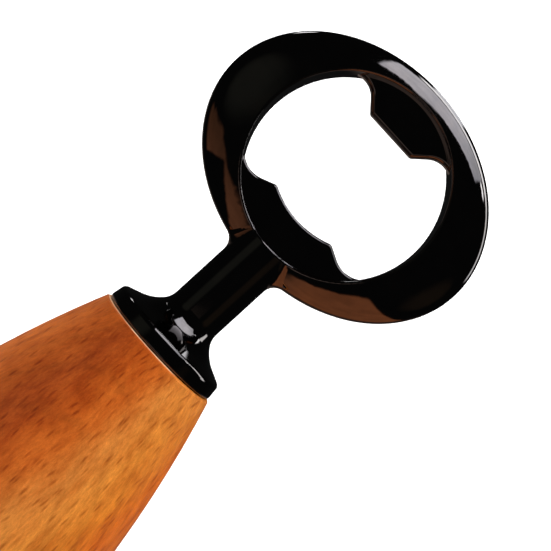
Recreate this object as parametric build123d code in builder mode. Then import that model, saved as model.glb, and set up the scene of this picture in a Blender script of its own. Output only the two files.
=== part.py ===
from build123d import *
import os
from math import cos, hypot, radians, sin, sqrt, tan

# Souvenir bottle opener: a cast ring head, screwed onto a turned beech handle.
#
# Frame, in millimetres: the flat end of the handle stands on Z = 0 with the origin at
# its centre, the handle's axis is +Z, and the head's ring stands in the XZ plane with
# its front face towards -Y.

os.makedirs("parts", exist_ok=True)

# ---------------------------------------------------------------- driving dimensions

# Handle
handle_length = 91.0            # flat end to the seat that the collar lands on
handle_seat_radius = 10.4
handle_seat_slope = 20.0        # degrees off the axis, where the side leaves the seat
handle_seat_chamfer = 0.3
handle_shoulder_radius = 17.15
handle_shoulder_depth = 24.0    # below the seat
handle_belly_radius = 20.6
handle_belly_height = 34.0
handle_flat_radius = 11.0       # flat that the opener stands on

# Head: turned neck and collar
collar_height = 2.4             # rim band at the wood
collar_seat_radius = 10.15
collar_top_radius = 9.8
collar_edge_fillet = 0.45
collar_shoulder_fillet = 0.8
collar_cone_angle = 68.0        # degrees off the axis, on the cone above the rim band
flare_low_radius = 7.0          # hollow curve up from the cone
flare_bend_angle = 40.0         # degrees off the axis, where it tightens
flare_high_radius = 3.0         # hollow curve into the neck
neck_radius = 4.2
neck_root_fillet = 2.1

# Head: oval ring, a lens with a round opening
ring_height = 35.8              # collar's seat to the middle of the ring
ring_width = 45.8
ring_length = 36.1              # along the handle's axis
ring_crown = 10.0               # thickness that the lens would have at its middle
bore_radius = 14.68             # round opening, where it is narrowest
bore_draft = 0.5                # degrees that its wall leans out towards each rim
rim_fillet = 0.32
web_thickness = 2.4             # plate of the two tabs
web_root_radius = 14.9          # how far the gaps between the tabs reach
web_outer_radius = 16.2         # how far the plate is sunk in the ring
web_fillet = 0.55

# Head: lifting tab at the far end, and pressing lip at the neck end
tab_reach = 8.62                # straight edge to the middle of the ring
tab_half_width = 4.2
tab_side_angle = 45.0           # degrees off the axis
tab_corner_fillet = 0.65
tab_root_fillet = 3.3
lip_reach = 9.16                # middle of the hollow edge to the middle of the ring
lip_radius = 13.5               # follows the rim of a crown cap
lip_half_width = 5.7
lip_side_angle = 66.0           # degrees off the axis
lip_corner_fillet = 0.7
lip_root_fillet = 4.1

# Fastening inside the handle
stud_radius = 2.5               # M5
stud_pitch = 0.8
stud_depth = 0.45
stud_in_head = 10.0
stud_in_handle = 18.0
insert_length = 15.0
insert_sink = 0.6               # below the handle's seat
insert_radius = 4.5
insert_root_radius = 3.7
insert_pitch = 2.5
insert_drive_across_flats = 6.0
insert_drive_depth = 3.5
hole_clearance = 1.0            # spare depth past the end of a screw
stud_relief_radius = 2.8
drill_point_angle = 59.0        # half of a 118 degree drill point

# ------------------------------------------------------------------- derived heights

seat_z = handle_length
ring_z = seat_z + ring_height
insert_top_z = seat_z - insert_sink
insert_bottom_z = insert_top_z - insert_length
stud_bottom_z = seat_z - stud_in_handle
stud_top_z = seat_z + stud_in_head


def drilled_hole(radius, mouth, floor):
    """Half section, in (radius, height), of a hole with a drill point at its floor."""
    point = radius / tan(radians(drill_point_angle))
    toward_tip = point if floor > mouth else -point
    return [(0, mouth), (radius, mouth), (radius, floor), (0, floor + toward_tip)]


def threaded_bar(crest, depth, pitch, bottom, top, crest_flat):
    """Half section, in (radius, height), of a bar with ring grooves and bevelled ends."""
    outline = [(0, bottom), (crest - depth, bottom)]
    height = bottom + pitch / 2
    while height < top - pitch / 4:
        outline.append((crest, height - crest_flat))
        outline.append((crest, height + crest_flat))
        height = height + pitch
        outline.append((crest - depth, min(height - pitch / 2, top)))
    outline[-1] = (crest - depth, top)
    outline.append((0, top))
    return outline


def from_ring_axis(point):
    """Distance of a point from the axis through the middle of the ring."""
    return hypot(point.X, point.Z - ring_z)


def on_rim(edge):
    """Whether an edge is part of the round opening's front or back rim."""
    for point in (edge @ 0, edge @ 0.5, edge @ 1):
        wall_radius = bore_radius + abs(point.Y) * tan(radians(bore_draft))
        if abs(point.Y) < web_thickness or abs(from_ring_axis(point) - wall_radius) > 0.01:
            return False
    return True


# ----------------------------------------------------------------------- wooden handle

with BuildPart() as handle:
    with BuildSketch(Plane.XZ):
        with BuildLine():
            side_top = (handle_seat_radius, seat_z)
            Spline(
                side_top,
                (handle_shoulder_radius, seat_z - handle_shoulder_depth),
                (handle_belly_radius, handle_belly_height),
                tangents=[(tan(radians(handle_seat_slope)), -1), (0, -1)],
            )
            EllipticalCenterArc(
                (handle_flat_radius, handle_belly_height),
                handle_belly_radius - handle_flat_radius,
                handle_belly_height,
                start_angle=270,
                arc_size=90,
            )
            Polyline((handle_flat_radius, 0), (0, 0), (0, seat_z), side_top)
        make_face()
    revolve(axis=Axis.Z)
    chamfer(handle.edges().group_by(Axis.Z)[-1], handle_seat_chamfer)
    with BuildSketch(Plane.XZ):
        with BuildLine():
            Polyline(*drilled_hole(insert_radius, seat_z, insert_bottom_z), close=True)
        make_face()
        with BuildLine():
            stud_hole_floor = stud_bottom_z - hole_clearance
            Polyline(*drilled_hole(stud_relief_radius, seat_z, stud_hole_floor), close=True)
        make_face()
    revolve(axis=Axis.Z, mode=Mode.SUBTRACT)

handle.part.label = "handle"
export_step(handle.part, "parts/handle.step")

# ------------------------------------------------------------------------ opener head

# The ring starts as a lens of revolution about Y, pressed into an oval along Z
with BuildPart() as ring_lens:
    with BuildSketch(Plane.XY):
        with BuildLine():
            EllipticalCenterArc(
                (0, 0), ring_width / 2, ring_crown / 2, start_angle=-90, arc_size=180
            )
            Line((0, ring_crown / 2), (0, -ring_crown / 2))
        make_face()
    revolve(axis=Axis.Y)
    scale(by=(1, 1, ring_length / ring_width))

# Gap between the tabs, in (x, distance from the middle of the ring towards its far end)
with BuildSketch() as cap_mouth:
    Circle(web_root_radius)
    with BuildLine():
        tab_flank = ring_width / 2
        tab_spread = tab_flank * tan(radians(tab_side_angle))
        Polyline(
            (-tab_half_width, tab_reach),
            (tab_half_width, tab_reach),
            (tab_half_width + tab_spread, tab_reach + tab_flank),
            (-tab_half_width - tab_spread, tab_reach + tab_flank),
            close=True,
        )
    make_face(mode=Mode.SUBTRACT)
    with BuildLine():
        lip_corner = lip_reach - lip_radius + sqrt(lip_radius**2 - lip_half_width**2)
        lip_flank = ring_width / 4
        lip_spread = lip_flank * tan(radians(lip_side_angle))
        ThreePointArc(
            (-lip_half_width, -lip_corner),
            (0, -lip_reach),
            (lip_half_width, -lip_corner),
        )
        Polyline(
            (lip_half_width, -lip_corner),
            (lip_half_width + lip_spread, -lip_corner - lip_flank),
            (-lip_half_width - lip_spread, -lip_corner - lip_flank),
            (-lip_half_width, -lip_corner),
        )
    make_face(mode=Mode.SUBTRACT)
    fillet(cap_mouth.vertices().group_by(Axis.Y)[0], lip_root_fillet)
    fillet(cap_mouth.vertices().group_by(Axis.Y)[-1], tab_root_fillet)
    for corner_height, corner_fillet in (
        (-lip_corner, lip_corner_fillet),
        (tab_reach, tab_corner_fillet),
    ):
        corners = cap_mouth.vertices().filter_by_position(
            Axis.Y, corner_height - 0.01, corner_height + 0.01
        )
        fillet(corners, corner_fillet)

# Plate of the two tabs, joined by a band that lies inside the ring
with BuildPart() as tab_web:
    with BuildSketch(Plane.XZ.offset(-web_thickness / 2)):
        with Locations((0, ring_z)):
            Circle(web_outer_radius)
            add(cap_mouth.sketch, mode=Mode.SUBTRACT)
    extrude(amount=web_thickness)
    gap_edges = [
        edge
        for face in tab_web.faces().filter_by(Axis.Y)
        for edge in face.inner_wires()[0].edges()
    ]
    fillet(gap_edges, web_fillet)

with BuildPart() as opener_head:
    # Neck and collar, turned about the handle's axis
    with BuildSketch(Plane.XZ):
        with BuildLine():
            cone = radians(collar_cone_angle)
            bend = radians(flare_bend_angle)
            bend_radius = neck_radius + flare_high_radius * (1 - cos(bend))
            flare_foot_radius = bend_radius + flare_low_radius * (cos(bend) - cos(cone))
            collar_top_z = seat_z + collar_height
            foot_z = collar_top_z + (collar_top_radius - flare_foot_radius) / tan(cone)
            bend_z = foot_z + flare_low_radius * (sin(cone) - sin(bend))
            flare_foot = (flare_foot_radius, foot_z)
            flare_bend = (bend_radius, bend_z)
            flare_top = (neck_radius, bend_z + flare_high_radius * sin(bend))
            Polyline(
                flare_foot,
                (collar_top_radius, collar_top_z),
                (collar_seat_radius, seat_z),
                (0, seat_z),
                (0, ring_z - web_thickness),
                (neck_radius, ring_z - web_thickness),
                flare_top,
            )
            RadiusArc(flare_top, flare_bend, -flare_high_radius)
            RadiusArc(flare_bend, flare_foot, -flare_low_radius)
        make_face()
    revolve(axis=Axis.Z)
    with Locations((0, 0, ring_z)):
        add(ring_lens.part)
    neck_root = opener_head.edges().filter_by(GeomType.BSPLINE).sort_by(Axis.Z)[:2]
    fillet(neck_root, neck_root_fillet)

    # Round opening, drawn out of the mould towards both faces, then the tabs across it
    for side in (1, -1):
        mould_half = Plane(origin=(0, 0, ring_z), x_dir=(1, 0, 0), z_dir=(0, side, 0))
        with BuildSketch(mould_half):
            Circle(bore_radius)
        extrude(amount=ring_crown, taper=-bore_draft, mode=Mode.SUBTRACT)
    fillet(opener_head.edges().filter_by(on_rim), rim_fillet)
    add(tab_web.part)

    # Collar's shoulder and lower edge, then the tapped hole in its seat
    collar_edges = opener_head.edges().filter_by(GeomType.CIRCLE).group_by(Axis.Z)
    fillet(collar_edges[1], collar_shoulder_fillet)
    fillet(collar_edges[0], collar_edge_fillet)
    with BuildSketch(Plane.XZ):
        with BuildLine():
            tapped_floor = stud_top_z + hole_clearance
            Polyline(*drilled_hole(stud_radius, seat_z, tapped_floor), close=True)
        make_face()
    revolve(axis=Axis.Z, mode=Mode.SUBTRACT)

opener_head.part.label = "opener_head"
export_step(opener_head.part, "parts/opener_head.step")

# ------------------------------------------------------------------------ fastening

# Double-ended stud; its thread is closed rings at the true pitch and depth
with BuildPart() as threaded_stud:
    with BuildSketch(Plane.XZ):
        with BuildLine():
            Polyline(
                *threaded_bar(
                    stud_radius, stud_depth, stud_pitch, stud_bottom_z, stud_top_z, stud_pitch / 8
                ),
                close=True,
            )
        make_face()
    revolve(axis=Axis.Z)

threaded_stud.part.label = "threaded_stud"
export_step(threaded_stud.part, "parts/threaded_stud.step")

# Brass insert that holds the stud in the wood, with a hexagonal socket to drive it
with BuildPart() as threaded_insert:
    with BuildSketch(Plane.XZ):
        with BuildLine():
            Polyline(
                *threaded_bar(
                    insert_radius,
                    insert_radius - insert_root_radius,
                    insert_pitch,
                    insert_bottom_z,
                    insert_top_z,
                    insert_pitch / 10,
                ),
                close=True,
            )
        make_face()
    revolve(axis=Axis.Z)
    with BuildSketch(Plane.XY.offset(insert_bottom_z)):
        Circle(stud_radius)
    extrude(amount=insert_length, mode=Mode.SUBTRACT)
    with BuildSketch(Plane.XY.offset(insert_top_z)):
        RegularPolygon(insert_drive_across_flats / 2, 6, major_radius=False)
    extrude(amount=-insert_drive_depth, mode=Mode.SUBTRACT)

threaded_insert.part.label = "threaded_insert"
export_step(threaded_insert.part, "parts/threaded_insert.step")
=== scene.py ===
import math

import bpy
from mathutils import Matrix, Vector


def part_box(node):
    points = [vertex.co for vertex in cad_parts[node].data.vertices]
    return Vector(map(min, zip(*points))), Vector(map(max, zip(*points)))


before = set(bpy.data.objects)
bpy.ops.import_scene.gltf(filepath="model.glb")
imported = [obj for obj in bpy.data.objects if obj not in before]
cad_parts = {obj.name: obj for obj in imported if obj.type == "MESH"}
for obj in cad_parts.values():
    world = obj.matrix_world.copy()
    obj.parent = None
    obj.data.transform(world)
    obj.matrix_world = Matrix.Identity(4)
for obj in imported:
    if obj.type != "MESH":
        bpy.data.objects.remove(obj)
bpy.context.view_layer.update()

# ------------------------------------------------------------------ sizes, in metres

RING_LENGTH = 0.0361        # outer size of the ring along the handle's axis
head_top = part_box("opener_head")[1].z
seat_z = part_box("handle")[1].z
ring_middle = Vector((0, 0, head_top - RING_LENGTH / 2))

# Camera: square on to the ring's front, rolled so that the opener leans to the right
VIEW_DISTANCE = 0.176
VIEW_WIDTH = 0.0783         # width of what is seen at the handle's axis
VIEW_LEAN = 42.35           # degrees between the handle's axis and the picture's bottom
VIEW_SIDE = 0.0036          # how far the middle of the picture is from the axis
VIEW_DROP = 0.0167          # and from the middle of the ring, towards the handle
SENSOR = 36.0               # in millimetres, as cameras have it
ROOM_LEVEL = 0.5            # how bright the room is that gloss mirrors

# Beech, in millimetres
MM_PER_METRE = 1000
HEART_X = 4.0               # middle of the tree that the handle was cut from
HEART_Y = 62.0
BAND_SPAN = 44.0            # width that the colour bands cover, round the heart
BAND_WANDER = 5.0           # how far they wander
BAND_MIDDLE_Z = 73.0        # height at which their middle is in front of the heart
GRAIN_LEAN = 0.08           # how far they drift sideways for each step up
RAY_SPACING = 0.60
RAY_HEIGHT = 3.6
# The pale edge at the seat is a painted highlight
SEAT_HIGHLIGHT_DEPTH = 0.12            # depth of the pale edge below the seat


# ------------------------------------------------------------------- node shorthand

class Graph:
    """Short ways to add nodes to one material or world."""

    def __init__(self, tree):
        self.tree = tree

    def feed(self, socket, value):
        if isinstance(value, bpy.types.NodeSocket):
            self.tree.links.new(value, socket)
        else:
            socket.default_value = value

    def math(self, operation, a, b=0.0):
        node = self.tree.nodes.new("ShaderNodeMath")
        node.operation = operation
        self.feed(node.inputs[0], a)
        self.feed(node.inputs[1], b)
        return node.outputs[0]

    def both(self, a, b):
        """Product of two shares."""
        return self.math("MULTIPLY", a, b)

    def mad(self, a, b, c):
        """a times b, plus c."""
        return self.math("ADD", self.math("MULTIPLY", a, b), c)

    def vector(self, operation, a, b=(0, 0, 0), output="Vector"):
        node = self.tree.nodes.new("ShaderNodeVectorMath")
        node.operation = operation
        self.feed(node.inputs[0], a)
        self.feed(node.inputs[1], b)
        return node.outputs[output]

    def scaled(self, vector, factors):
        return self.vector("MULTIPLY", vector, factors)

    def split(self, vector):
        node = self.tree.nodes.new("ShaderNodeSeparateXYZ")
        self.feed(node.inputs[0], vector)
        return node.outputs[0], node.outputs[1], node.outputs[2]

    def joined(self, x, y, z):
        node = self.tree.nodes.new("ShaderNodeCombineXYZ")
        for socket, value in zip(node.inputs, (x, y, z)):
            self.feed(socket, value)
        return node.outputs[0]

    def step(self, value, low, high):
        """0 below low and 1 above high, or the other way round, with a smooth change."""
        node = self.tree.nodes.new("ShaderNodeMapRange")
        node.interpolation_type = "SMOOTHSTEP"
        self.feed(node.inputs["Value"], value)
        flipped = high < low
        node.inputs["From Min"].default_value = min(low, high)
        node.inputs["From Max"].default_value = max(low, high)
        node.inputs["To Min"].default_value = 1.0 if flipped else 0.0
        node.inputs["To Max"].default_value = 0.0 if flipped else 1.0
        return node.outputs["Result"]

    def between(self, value, low, high, blur):
        """1 from low to high and 0 outside them; each change is two blurs wide."""
        return self.both(self.step(value, low - blur, low + blur),
                         self.step(value, high + blur, high - blur))

    def cells(self, vector):
        """Random points, one to a square of a flat unit grid: distance to the nearest, and
        a random colour that goes with it."""
        node = self.tree.nodes.new("ShaderNodeTexVoronoi")
        node.voronoi_dimensions = "2D"
        self.feed(node.inputs["Vector"], vector)
        node.inputs["Scale"].default_value = 1.0
        return node.outputs["Distance"], node.outputs["Color"]

    def place(self):
        """Place on the object, in metres."""
        return self.tree.nodes.new("ShaderNodeTexCoord").outputs["Object"]

    def noise(self, vector, scale, detail=2.0, roughness=0.5):
        node = self.tree.nodes.new("ShaderNodeTexNoise")
        self.feed(node.inputs["Vector"], vector)
        node.inputs["Scale"].default_value = scale
        node.inputs["Detail"].default_value = detail
        node.inputs["Roughness"].default_value = roughness
        return node.outputs["Fac"]

    def ramp(self, value, *stops):
        """A colour ramp; each stop is (place, colour) or (place, grey)."""
        node = self.tree.nodes.new("ShaderNodeValToRGB")
        elements = node.color_ramp.elements
        while len(elements) < len(stops):
            elements.new(0.5)
        for element, (place, colour) in zip(elements, stops):
            red_green_blue = colour if hasattr(colour, "__len__") else (colour, colour, colour)
            element.position = place
            element.color = (*red_green_blue, 1)
        self.feed(node.inputs[0], value)
        return node.outputs[0]

    def mixed(self, share, a, b, blend="MIX"):
        node = self.tree.nodes.new("ShaderNodeMix")
        node.data_type = "RGBA"
        node.blend_type = blend
        self.feed(node.inputs[0], share)
        self.feed(node.inputs[6], a if isinstance(a, bpy.types.NodeSocket) else (*a, 1))
        self.feed(node.inputs[7], b if isinstance(b, bpy.types.NodeSocket) else (*b, 1))
        return node.outputs[2]

    def bump(self, height, distance, strength=1.0, normal=None):
        node = self.tree.nodes.new("ShaderNodeBump")
        node.inputs["Strength"].default_value = strength
        node.inputs["Distance"].default_value = distance
        self.feed(node.inputs["Height"], height)
        if normal is not None:
            self.feed(node.inputs["Normal"], normal)
        return node.outputs[0]


def new_material(name):
    """An empty material with its graph and its shader."""
    material = bpy.data.materials.new(name)
    material.use_nodes = True
    graph = Graph(material.node_tree)
    shader = material.node_tree.nodes["Principled BSDF"]
    return material, graph, shader


# ------------------------------------------------------------------------- materials

def black_nickel():
    """Mirror black plating on a polished casting, with faint waves and rubbed hairlines."""
    material, graph, shader = new_material("black_nickel")
    place = graph.place()
    wave = graph.noise(place, 120.0, 2.0)
    grain = graph.noise(graph.scaled(place, (1.0, 1.0, 0.15)), 5200.0, 3.0, 0.6)
    smudge = graph.noise(place, 260.0, 4.0, 0.6)
    graph.feed(shader.inputs["Base Color"],
               graph.ramp(smudge, (0.35, (0.125, 0.122, 0.125)), (0.7, (0.155, 0.146, 0.142))))
    shader.inputs["Metallic"].default_value = 1.0
    rough = graph.ramp(smudge, (0.4, 0.035), (0.75, 0.075))
    graph.feed(shader.inputs["Roughness"], rough)
    soft = graph.bump(wave, 0.00003, 0.5)
    graph.feed(shader.inputs["Normal"], graph.bump(grain, 0.000001, 0.3, soft))
    return material


def beech():
    """Turned, oiled beech: rings about a heart behind the handle, fibres and ray flecks.

    Lengths in the graph are in millimetres. Rays are thin plates that point at the
    heart: they are short dashes in front and in the back, and ribbons on the sides.
    """
    material, graph, shader = new_material("beech_wood")
    place = graph.scaled(graph.place(), (MM_PER_METRE, MM_PER_METRE, MM_PER_METRE))
    bend = graph.noise(graph.scaled(place, (0.03, 0.03, 0.012)), 1.0, 2.0)
    sway = graph.math("MULTIPLY", graph.math("SUBTRACT", bend, 0.5), 4.0)
    x, y, z = graph.split(place)
    from_heart_x = graph.math("ADD", graph.math("SUBTRACT", x, HEART_X), sway)
    from_heart_y = graph.math("SUBTRACT", HEART_Y, y)
    heart_radius = graph.vector("LENGTH", graph.joined(from_heart_x, from_heart_y, 0.0),
                                output="Value")
    turn = graph.math("ARCTAN2", from_heart_x, from_heart_y)
    around = graph.math("MULTIPLY", turn, HEART_Y)
    wood_place = graph.joined(around, z, heart_radius)

    # Broad colour bands round the heart: red-brown left of the front, paler orange to its right.
    # They are partly the wood's own tone and partly painted light: painted shade in the dark band
    # left of the front, and painted sheen and bounce light in the pale orange to its right
    band_bend = graph.noise(graph.scaled(place, (0.07, 0.07, 0.025)), 1.0, 3.0, 0.55)
    band = graph.mad(z, -GRAIN_LEAN, graph.mad(band_bend, BAND_WANDER, around))
    band_start = (BAND_WANDER - BAND_SPAN) / 2 - BAND_MIDDLE_Z * GRAIN_LEAN
    band_place = graph.mad(band, 1 / BAND_SPAN, -band_start / BAND_SPAN)
    tone_and_painted_light = graph.ramp(band_place,
                      (0.00, (0.52, 0.130, 0.020)),
                      (0.12, (0.50, 0.120, 0.018)),
                      (0.21, (0.37, 0.080, 0.011)),
                      (0.30, (0.26, 0.044, 0.006)),
                      (0.37, (0.36, 0.065, 0.007)),
                      (0.43, (0.49, 0.108, 0.013)),
                      (0.50, (0.58, 0.185, 0.031)),
                      (0.58, (0.62, 0.200, 0.026)),
                      (0.64, (0.56, 0.155, 0.013)),
                      (0.70, (0.56, 0.115, 0.005)),
                      (0.86, (0.46, 0.100, 0.012)),
                      (1.00, (0.54, 0.140, 0.020)))

    # Growth rings, wide where the surface faces the heart
    ring_noise = graph.noise(graph.scaled(place, (0.12, 0.12, 0.02)), 1.0, 3.0)
    ring_place = graph.mad(heart_radius, 0.42, graph.math("MULTIPLY", ring_noise, 1.2))
    ring = graph.math("FRACT", ring_place)
    ring_shade = graph.ramp(ring, (0.0, 0.86), (0.12, 0.97), (0.75, 1.0), (1.0, 0.86))

    # Soft streaks, fibres and pores
    streak = graph.noise(graph.scaled(wood_place, (0.8, 0.09, 0.8)), 1.0, 3.0, 0.6)
    streak_shade = graph.ramp(streak, (0.32, (0.80, 0.70, 0.60)), (0.68, (1.14, 1.22, 1.25)))
    fibre = graph.noise(graph.scaled(wood_place, (4.0, 0.22, 4.0)), 1.0, 3.0, 0.6)
    fibre_shade = graph.ramp(fibre, (0.3, 0.80), (0.7, 1.12))
    pore = graph.noise(graph.scaled(wood_place, (14.0, 1.6, 14.0)), 1.0, 2.0, 0.6)
    pore_shade = graph.ramp(pore, (0.3, 0.86), (0.65, 1.08))

    # Ray flecks
    drift = graph.math("MULTIPLY", graph.noise(graph.scaled(place, (0.15, 0.15, 0.08)), 1.0), 2.2)
    ray_place = graph.joined(graph.math("DIVIDE", graph.math("ADD", around, drift), RAY_SPACING),
                             graph.math("DIVIDE", z, RAY_HEIGHT), 0.0)
    ray_distance, ray_colour = graph.cells(ray_place)
    ray = graph.step(ray_distance, 0.32, 0.06)
    ray_share = graph.both(ray, graph.ramp(ray_colour, (0.25, 0.15), (0.8, 0.85)))

    colour = tone_and_painted_light
    for shade in (ring_shade, streak_shade, fibre_shade, pore_shade):
        colour = graph.mixed(1.0, colour, shade, "MULTIPLY")
    ray_tone = graph.mixed(1.0, colour, (0.58, 0.44, 0.34), "MULTIPLY")
    colour = graph.mixed(ray_share, colour, ray_tone)

    # Painted highlight: a pale line along the edge at the seat, where light catches it, in
    # patches that fade out on the right
    highlight_low = seat_z * MM_PER_METRE - SEAT_HIGHLIGHT_DEPTH
    seat_highlight = graph.step(z, highlight_low, highlight_low + 0.05)
    highlight_patches = graph.ramp(graph.noise(graph.scaled(place, (0.25, 0.25, 0.25)), 1.0, 2.0),
                        (0.35, 0.3), (0.6, 0.9))
    highlight_patches = graph.math("MULTIPLY", highlight_patches, graph.step(x, 5.0, 3.0))
    colour = graph.mixed(graph.math("MULTIPLY", seat_highlight, highlight_patches), colour, (0.78, 0.50, 0.30))
    graph.feed(shader.inputs["Base Color"], colour)

    graph.feed(shader.inputs["Roughness"], graph.ramp(fibre, (0.3, 0.38), (0.7, 0.52)))
    shader.inputs["Specular IOR Level"].default_value = 0.12
    relief = graph.math("SUBTRACT", pore, graph.math("MULTIPLY", ray_share, 0.8))
    graph.feed(shader.inputs["Normal"], graph.bump(relief, 0.00002, 0.5))
    return material


def plain_metal(name, colour, rough):
    """Machined metal with turning marks, for the pieces inside the handle."""
    material, graph, shader = new_material(name)
    marks = graph.noise(graph.scaled(graph.place(), (0.2, 0.2, 1.0)), 9000.0, 2.0)
    darker = tuple(0.8 * value for value in colour)
    graph.feed(shader.inputs["Base Color"], graph.mixed(marks, darker, colour))
    graph.feed(shader.inputs["Roughness"], graph.ramp(marks, (0.3, rough), (0.8, rough + 0.15)))
    shader.inputs["Metallic"].default_value = 1.0
    graph.feed(shader.inputs["Normal"], graph.bump(marks, 0.00001, 0.3))
    return material


def dress(node, material):
    """Puts a material on every slot of a CAD node."""
    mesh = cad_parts[node].data
    mesh.materials.clear()
    mesh.materials.append(material)
    for face in mesh.polygons:
        face.material_index = 0


dress("opener_head", black_nickel())
dress("handle", beech())
dress("threaded_stud", plain_metal("stud_steel", (0.62, 0.62, 0.64), 0.3))
dress("threaded_insert", plain_metal("insert_brass", (0.75, 0.52, 0.22), 0.25))


# ---------------------------------------------------------------- floor and backdrop

def studio_sweep():
    """A pale floor that curves up behind the opener into a wall, as one smooth sheet."""
    near = -1.2
    far = 0.7
    bend = 0.45
    bend_steps = 16
    height = 1.6
    half_width = 1.6
    profile = [(near, 0.0), (far - bend, 0.0)]
    for step in range(1, bend_steps + 1):
        turn = math.radians(90 * step / bend_steps)
        profile.append((far - bend + bend * math.sin(turn), bend - bend * math.cos(turn)))
    profile.append((far, height))
    points = [(side * half_width, y, z) for y, z in profile for side in (-1, 1)]
    faces = [(2 * i, 2 * i + 1, 2 * i + 3, 2 * i + 2) for i in range(len(profile) - 1)]
    mesh = bpy.data.meshes.new("studio_floor")
    mesh.from_pydata(points, [], faces)
    for face in mesh.polygons:
        face.use_smooth = True
    sheet = bpy.data.objects.new("studio_floor", mesh)
    bpy.context.scene.collection.objects.link(sheet)
    material, graph, shader = new_material("pale_paper")
    grain = graph.noise(graph.place(), 900.0, 3.0)
    graph.feed(shader.inputs["Base Color"], graph.ramp(grain, (0.3, 0.86), (0.7, 0.9)))
    shader.inputs["Roughness"].default_value = 0.9
    shader.inputs["Specular IOR Level"].default_value = 0.1
    mesh.materials.append(material)
    sheet.visible_glossy = False


studio_sweep()


# ---------------------------------------------------------------------------- lights

def soft_box(name, centre, target, size, power):
    """A rectangular soft light that faces a target and that gloss doesn't mirror."""
    lamp = bpy.data.lights.new(name, "AREA")
    lamp.shape = "RECTANGLE"
    lamp.size, lamp.size_y = size
    lamp.energy = power
    holder = bpy.data.objects.new(name, lamp)
    holder.location = centre
    holder.rotation_euler = (Vector(target) - Vector(centre)).to_track_quat("-Z", "Y").to_euler()
    holder.visible_glossy = False
    bpy.context.scene.collection.objects.link(holder)


soft_box("key_light", (0.45, -0.55, 0.55), ring_middle, (0.5, 0.5), 1.5)
soft_box("fill_light", (-0.6, -0.5, 0.25), ring_middle, (0.5, 0.5), 0.95)
soft_box("wall_light", (0.0, 0.0, 1.2), (0, 0.6, 0.2), (1.5, 0.5), 30.0)


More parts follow.
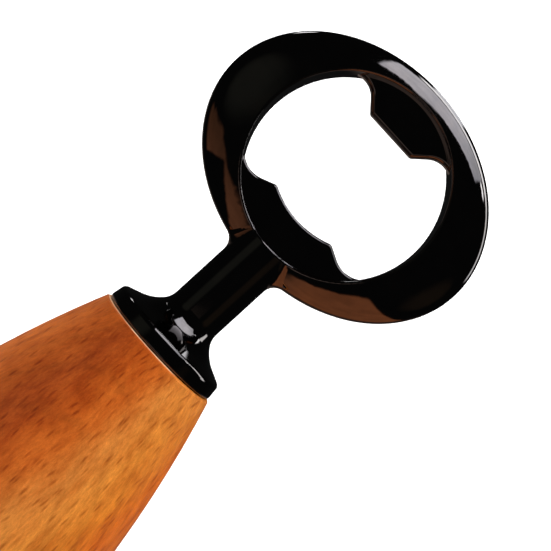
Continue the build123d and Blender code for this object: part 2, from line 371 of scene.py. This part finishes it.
def room():
    """The world: what gloss mirrors, what lights matt surfaces, and what the camera sees.

    Gloss mirrors a dark room: a window overhead, a strip of lit wall past it, two lamps,
    and a wooden table below with the viewer's shadow on it. Everything is placed by the
    direction in which it is seen: x to the right, y away from the viewer and z up, from
    -1 to 1. Matt surfaces get an even dim light, and the camera sees pale paper past the
    sweep.
    """
    world = bpy.data.worlds.new("studio")
    world.use_nodes = True
    graph = Graph(world.node_tree)
    background = world.node_tree.nodes["Background"]
    rays = world.node_tree.nodes.new("ShaderNodeLightPath").outputs
    direction = world.node_tree.nodes.new("ShaderNodeTexCoord").outputs["Generated"]
    x, y, z = graph.split(direction)
    mottle = graph.ramp(graph.noise(direction, 6.0, 3.0), (0.35, 0.88), (0.65, 1.08))
    ripple = graph.math("SUBTRACT", graph.noise(direction, 7.0, 3.0), 0.5)

    # Table, from the edges of the viewer's shadow down, with one more shadow on the left;
    # its wood is brightest on the right and dark in the middle
    left_edge = graph.math("MAXIMUM", graph.mad(x, 0.72, 0.83), 0.38)
    right_edge = graph.math("MAXIMUM", graph.mad(x, -1.08, 0.94), 0.36)
    shadow_edge = graph.mad(ripple, 0.10, graph.math("MINIMUM", left_edge, right_edge))
    table = graph.step(graph.math("ADD", shadow_edge, z), 0.03, -0.03)
    table_depth = graph.mad(graph.step(x, 0.0, 0.2), -0.45, y)
    table = graph.both(table, graph.step(table_depth, 0.0, -0.2))
    table_end = graph.mad(y, -0.30, graph.mad(z, 1.26, x))
    table = graph.both(table, graph.step(table_end, 0.25, 0.21))
    left_shadow = graph.both(graph.step(graph.mad(z, 0.455, x), -0.70, -0.74),
                             graph.step(graph.mad(x, -0.827, z), -0.08, -0.12))
    table = graph.both(table, graph.mad(left_shadow, -1.0, 1.0))
    left_wood = graph.mixed(graph.step(z, -0.85, -0.40), (0.85, 0.33, 0.16), (0.38, 0.16, 0.08))
    wood = graph.mixed(graph.step(x, 0.05, 0.35), left_wood, (1.30, 0.43, 0.17))
    sideways = graph.math("ABSOLUTE", x)
    wood = graph.mixed(graph.step(sideways, 0.12, 0.22), (0.10, 0.07, 0.05), wood)
    wood = graph.mixed(1.0, wood, mottle, "MULTIPLY")
    colour = graph.mixed(table, (0.018, 0.018, 0.018), wood)

    # Its far end, past the opener, and its near end, by the viewer
    far_table = graph.both(graph.step(y, 0.4, 0.8), graph.step(z, -0.08, -0.18))
    colour = graph.mixed(far_table, colour, (0.40, 0.31, 0.27))
    near_table = graph.both(graph.step(y, -0.89, -0.93), graph.step(z, -0.06, -0.12))
    colour = graph.mixed(near_table, colour, (0.65, 0.48, 0.40))

    # Window overhead, measured across and along a level sheet above the opener: a large
    # pane, then a narrow one past a bar
    across = graph.math("DIVIDE", x, graph.math("MAXIMUM", z, 0.05))
    along = graph.math("DIVIDE", y, graph.math("MAXIMUM", z, 0.05))
    along = graph.mad(ripple, 0.14, along)
    blur = 0.02
    left_side = graph.step(graph.mad(along, -0.18, across), -0.275 - blur, -0.275 + blur)
    near_side = graph.step(graph.mad(across, -0.14, along), -0.57 - blur, -0.57 + blur)
    pane = graph.both(left_side, graph.step(across, 0.55 + blur, 0.55 - blur))
    pane = graph.both(pane, near_side)
    pane = graph.both(pane, graph.step(along, 0.05 + blur, 0.05 - blur))
    small_pane = graph.both(graph.step(along, 0.10, 0.14), graph.step(along, 1.3, 1.2))
    small_pane = graph.both(small_pane, graph.between(across, -0.05, 0.18, blur))
    above = graph.step(z, 0.2, 0.3)
    sky = graph.mixed(graph.step(x, 0.1, 0.45), (5.2, 5.1, 5.4), (3.6, 3.6, 3.8))
    sky = graph.mixed(1.0, sky, mottle, "MULTIPLY")
    colour = graph.mixed(graph.both(pane, above), colour, sky)
    colour = graph.mixed(graph.both(small_pane, above), colour, (5.0, 5.0, 5.2))

    # Strip of lit wall past the opener, high up and mostly on the right
    wall = graph.between(y, 0.11, 0.31, blur)
    wall = graph.both(wall, graph.both(graph.step(x, -0.15, -0.09), graph.step(z, 0.23, 0.31)))
    wall_light = graph.mixed(graph.step(x, 0.5, 0.65), (10.0, 10.0, 10.0), (6.0, 5.9, 5.8))
    colour = graph.mixed(wall, colour, wall_light)

    # Two dim shapes in the room, then a lamp past the opener on the left and one above it
    # on the right; inner and outer are the cosines of the angles between which each fades
    for centre, inner, outer, shade in (
        ((-0.71, -0.70, 0.05), 0.99, 0.93, (0.08, 0.08, 0.065)),
        ((0.84, -0.53, -0.10), 0.99, 0.95, (0.07, 0.05, 0.035)),
        ((-0.67, 0.45, 0.59), 0.9982, 0.9960, (14.0, 14.0, 14.0)),
        ((0.535, -0.086, 0.840), 0.9985, 0.9970, (12.0, 12.0, 12.0)),
    ):
        nearness = graph.vector("DOT_PRODUCT", direction, centre, output="Value")
        colour = graph.mixed(graph.step(nearness, outer, inner), colour, shade)

    colour = graph.mixed(1.0, colour, (ROOM_LEVEL, ROOM_LEVEL, ROOM_LEVEL), "MULTIPLY")
    colour = graph.mixed(rays["Is Glossy Ray"], (0.10, 0.096, 0.092), colour)
    colour = graph.mixed(rays["Is Camera Ray"], colour, (0.95, 0.95, 0.95))
    graph.feed(background.inputs["Color"], colour)
    bpy.context.scene.world = world


room()


# ---------------------------------------------------------------------------- camera

lean = math.radians(VIEW_LEAN)
picture_right = Vector((math.sin(lean), 0, math.cos(lean)))
picture_up = Vector((-math.cos(lean), 0, math.sin(lean)))
towards_viewer = Vector((0, -1, 0))
lens = bpy.data.cameras.new("camera")
lens.sensor_width = SENSOR
lens.lens = SENSOR * VIEW_DISTANCE / VIEW_WIDTH
lens.clip_start = 0.01
camera = bpy.data.objects.new("camera", lens)
turn = Matrix((picture_right, picture_up, towards_viewer)).transposed().to_4x4()
where = ring_middle + Vector((VIEW_SIDE, -VIEW_DISTANCE, -VIEW_DROP))
camera.matrix_world = Matrix.Translation(where) @ turn
bpy.context.scene.collection.objects.link(camera)
bpy.context.scene.camera = camera
bpy.context.scene.view_settings.view_transform = "Standard"
